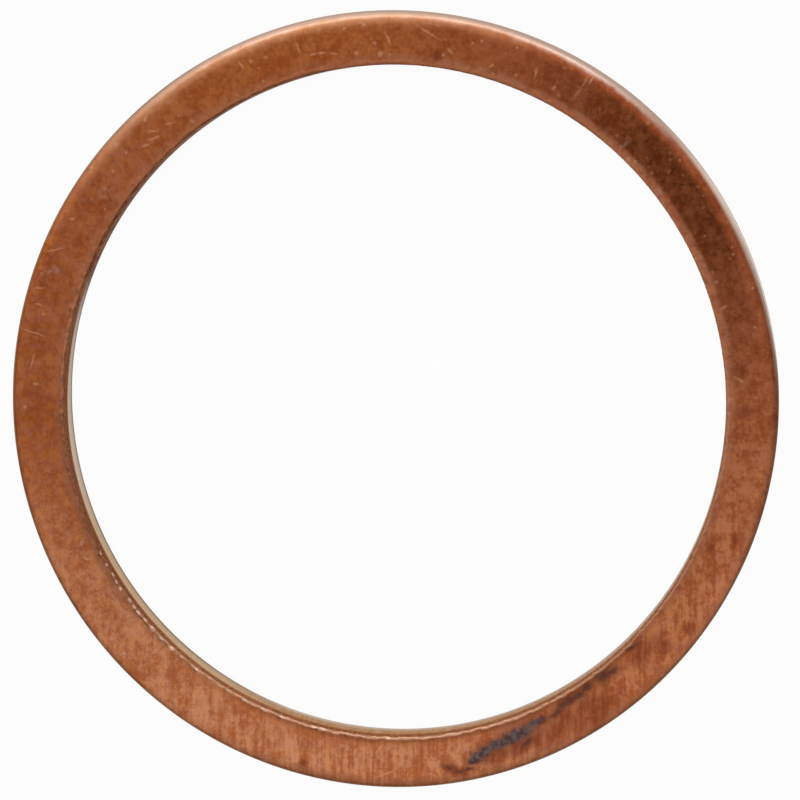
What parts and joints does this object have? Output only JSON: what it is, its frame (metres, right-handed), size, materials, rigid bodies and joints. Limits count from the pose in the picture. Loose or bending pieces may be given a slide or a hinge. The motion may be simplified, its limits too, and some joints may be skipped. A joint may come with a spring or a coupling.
{
  "type": "copper crush washer",
  "caption": "Flat annular sealing washer blanked from soft copper strip; it is crushed under a plug, union or fitting to seal the joint.",
  "frame": {"origin": "on the ring's axis at its lower face", "axes": "+Z along the axis, out of the upper face, which carries the rim's rounded die roll"},
  "size_m": [0.044, 0.044, 0.002],
  "materials": {
    "copper": "bare rolled copper, satin along the strip's grain, lightly tarnished, stained and scratched"
  },
  "bodies": {
    "root": {"washer": "copper"}
  },
  "joints": []
}
